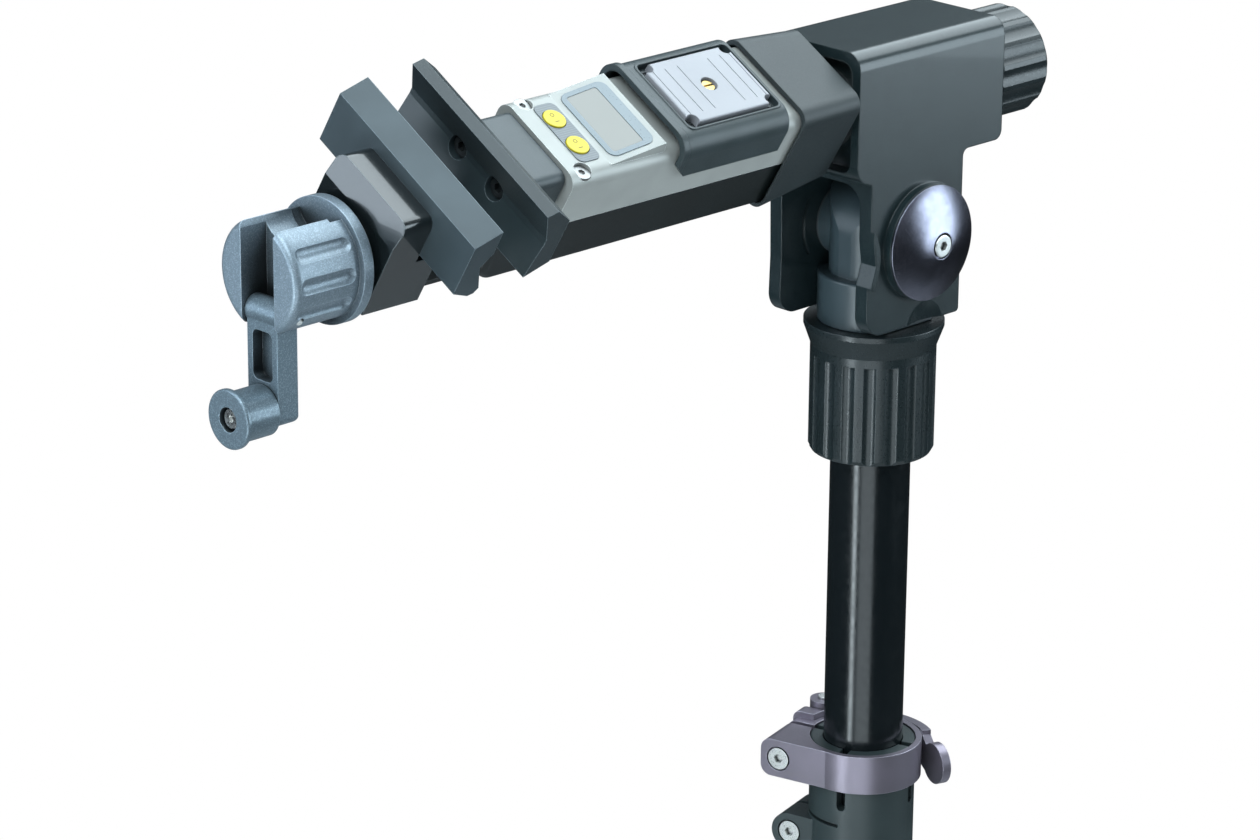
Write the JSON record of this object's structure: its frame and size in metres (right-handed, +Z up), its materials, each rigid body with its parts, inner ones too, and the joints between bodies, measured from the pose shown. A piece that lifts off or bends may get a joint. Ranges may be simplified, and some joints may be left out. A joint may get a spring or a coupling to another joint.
{
  "type": "bicycle repair stand",
  "caption": "Tripod stand with a sliding mast, a tilting head and a rolling arm whose folding crank closes a screw clamp; the arm holds a digital scale.",
  "frame": {"origin": "centre of the post's foot on the floor", "axes": "+Z up along the post, the clamp arm points along -X, the pivot dome faces -Y"},
  "size_m": [0.7449, 0.8554, 1.1712],
  "materials": {
    "post_black": "semi-gloss black paint",
    "mast_black": "gloss black anodised tube",
    "sleeve_black": "satin black powder coat",
    "violet_grey": "satin violet-grey anodised",
    "bolt_steel": "zinc plated socket screws",
    "foot_rubber": "plain",
    "bush_plastic": "plain",
    "head_black": "satin black powder coat",
    "knob_black": "satin moulded",
    "dome_violet": "bright blue-violet anodised",
    "bracket_grey": "satin dark grey",
    "beam_black": "satin black anodised",
    "housing_silver": "satin silver",
    "screw_black": "black oxide",
    "panel_blue": "fine stripes",
    "button_yellow": "plain",
    "bezel_pale": "pale blue-grey",
    "window_grey": "grey display glass",
    "board_green": "solder mask",
    "cell_metal": "milled",
    "battery_wrap": "wrapped cell",
    "cover_dark": "fine grain",
    "lid_light": "fine engraved lines",
    "screw_brass": "slotted",
    "block_grey": "fine grain",
    "jaw_grey": "matt dark grey anodised",
    "carrier_black": "gloss black",
    "crank_cast": "fine sparkle blue-grey"
  },
  "bodies": {
    "post": {"post_tube": "post_black", "post_foot": "foot_rubber", "top_sleeve": "sleeve_black", "pinch_bolts": "bolt_steel", "quick_release_collar": "violet_grey", "clamp_bolt": "bolt_steel", "cam_saddle": "violet_grey", "cam_pin": "bolt_steel", "leg_hub": "sleeve_black", "leg_pivot_bolts": "bolt_steel"},
    "lever": {"quick_release_lever": "violet_grey"},
    "mast": {"mast_tube": "mast_black", "mast_bushing": "bush_plastic"},
    "neck": {"neck": "head_black", "pivot_washers": "bush_plastic"},
    "lock_ring": {"lock_ring": "knob_black"},
    "head": {"head": "head_black", "pivot_dome": "dome_violet", "pivot_bolt": "bolt_steel", "pivot_nut": "bolt_steel", "shaft_bushes": "bush_plastic"},
    "arm": {"arm_shaft": "bolt_steel", "arm_bracket": "bracket_grey", "arm_beam": "beam_black", "scale_housing": "housing_silver", "housing_screws": "screw_black", "button_panel": "panel_blue", "display_bezel": "bezel_pale", "display_window": "window_grey", "circuit_board": "board_green", "load_cell": "cell_metal", "battery": "battery_wrap", "saddle_cover": "cover_dark", "battery_lid": "lid_light", "lid_screws": "screw_black", "lid_lock_screw": "screw_brass", "front_block": "block_grey", "rear_jaw": "jaw_grey", "jaw_bolts": "bolt_steel", "spindle_nut": "screw_brass"},
    "rear_knob": {"rear_knob": "knob_black"},
    "carriage": {"front_jaw": "jaw_grey", "jaw_carrier": "carrier_black", "guide_runner": "beam_black"},
    "crank": {"spindle": "bolt_steel", "crank_knob": "crank_cast", "crank_hinge_pin": "bolt_steel"},
    "crank_arm": {"crank_arm": "crank_cast", "handle_screw": "bolt_steel"},
    "crank_handle": {"crank_handle": "crank_cast"},
    "power_button": {"power_button": "button_yellow"},
    "unit_button": {"unit_button": "button_yellow"},
    "leg_1": {"leg_1": "post_black", "leg_foot_1": "foot_rubber"},
    "leg_2": {"leg_2": "post_black", "leg_foot_2": "foot_rubber"},
    "leg_3": {"leg_3": "post_black", "leg_foot_3": "foot_rubber"}
  },
  "joints": [
    {"name": "mast_height", "type": "slide", "parent": "post", "child": "mast", "axis": [0, 0, 1], "range_m": [-0.115, 0.3]},
    {"name": "head_swivel", "type": "hinge", "parent": "mast", "child": "neck", "pos_m": [0, 0, 1.0034], "axis": [0, 0, 1], "continuous": true},
    {"name": "head_tilt", "type": "hinge", "parent": "neck", "child": "head", "pos_m": [0, 0, 1.0468], "axis": [0, 1, 0], "range_deg": [-80, 0]},
    {"name": "lock_ring_slide", "type": "slide", "parent": "neck", "child": "lock_ring", "axis": [0, 0, 1], "range_m": [-0.0225, 0]},
    {"name": "arm_roll", "type": "hinge", "parent": "head", "child": "arm", "pos_m": [0, 0, 1.112], "axis": [1, 0, 0], "continuous": true},
    {"name": "rear_knob_spin", "type": "hinge", "parent": "arm", "child": "rear_knob", "pos_m": [0.07, 0, 1.112], "axis": [1, 0, 0], "continuous": true},
    {"name": "lever_swing", "type": "hinge", "parent": "post", "child": "lever", "pos_m": [0.01015, 0.03465, 0.782], "axis": [0, 0, 1], "range_deg": [0, 110]},
    {"name": "jaw_travel", "type": "slide", "parent": "arm", "child": "carriage", "axis": [1, 0, 0], "range_m": [-0.03, 0.022]},
    {"name": "crank_spin", "type": "hinge", "parent": "carriage", "child": "crank", "pos_m": [-0.345, 0.00693, 1.10041], "axis": [1, 0, 0], "range_deg": [-2166, 1590]},
    {"name": "crank_fold", "type": "hinge", "parent": "crank", "child": "crank_arm", "pos_m": [-0.361, 0.00693, 1.08391], "axis": [0, 1, 0], "range_deg": [0, 180]},
    {"name": "handle_spin", "type": "hinge", "parent": "crank_arm", "child": "crank_handle", "pos_m": [-0.376, 0.00693, 1.04291], "axis": [1, 0, 0], "continuous": true},
    {"name": "power_press", "type": "slide", "parent": "arm", "child": "power_button", "axis": [0, 0.5131, -0.8583], "range_m": [0, 0.00035], "stiffness_N_per_m": 900, "springref_m": -0.0004},
    {"name": "unit_press", "type": "slide", "parent": "arm", "child": "unit_button", "axis": [0, 0.5131, -0.8583], "range_m": [0, 0.00035], "stiffness_N_per_m": 900, "springref_m": -0.0004},
    {"name": "leg_1_fold", "type": "hinge", "parent": "post", "child": "leg_1", "pos_m": [-0.05, 0, 0.5], "axis": [0, -1, 0], "range_deg": [0, 40]},
    {"name": "leg_2_fold", "type": "hinge", "parent": "post", "child": "leg_2", "pos_m": [0.025, -0.0433, 0.5], "axis": [0.866, 0.5, 0], "range_deg": [0, 40]},
    {"name": "leg_3_fold", "type": "hinge", "parent": "post", "child": "leg_3", "pos_m": [0.025, 0.0433, 0.5], "axis": [-0.866, 0.5, 0], "range_deg": [0, 40]}
  ],
  "couplings": [
    {"joint": "lock_ring_slide", "follows": "head_tilt", "m_per_rad": 0.01528},
    {"joint": "crank_spin", "follows": "jaw_travel", "rad_per_m": 1256.6}
  ]
}
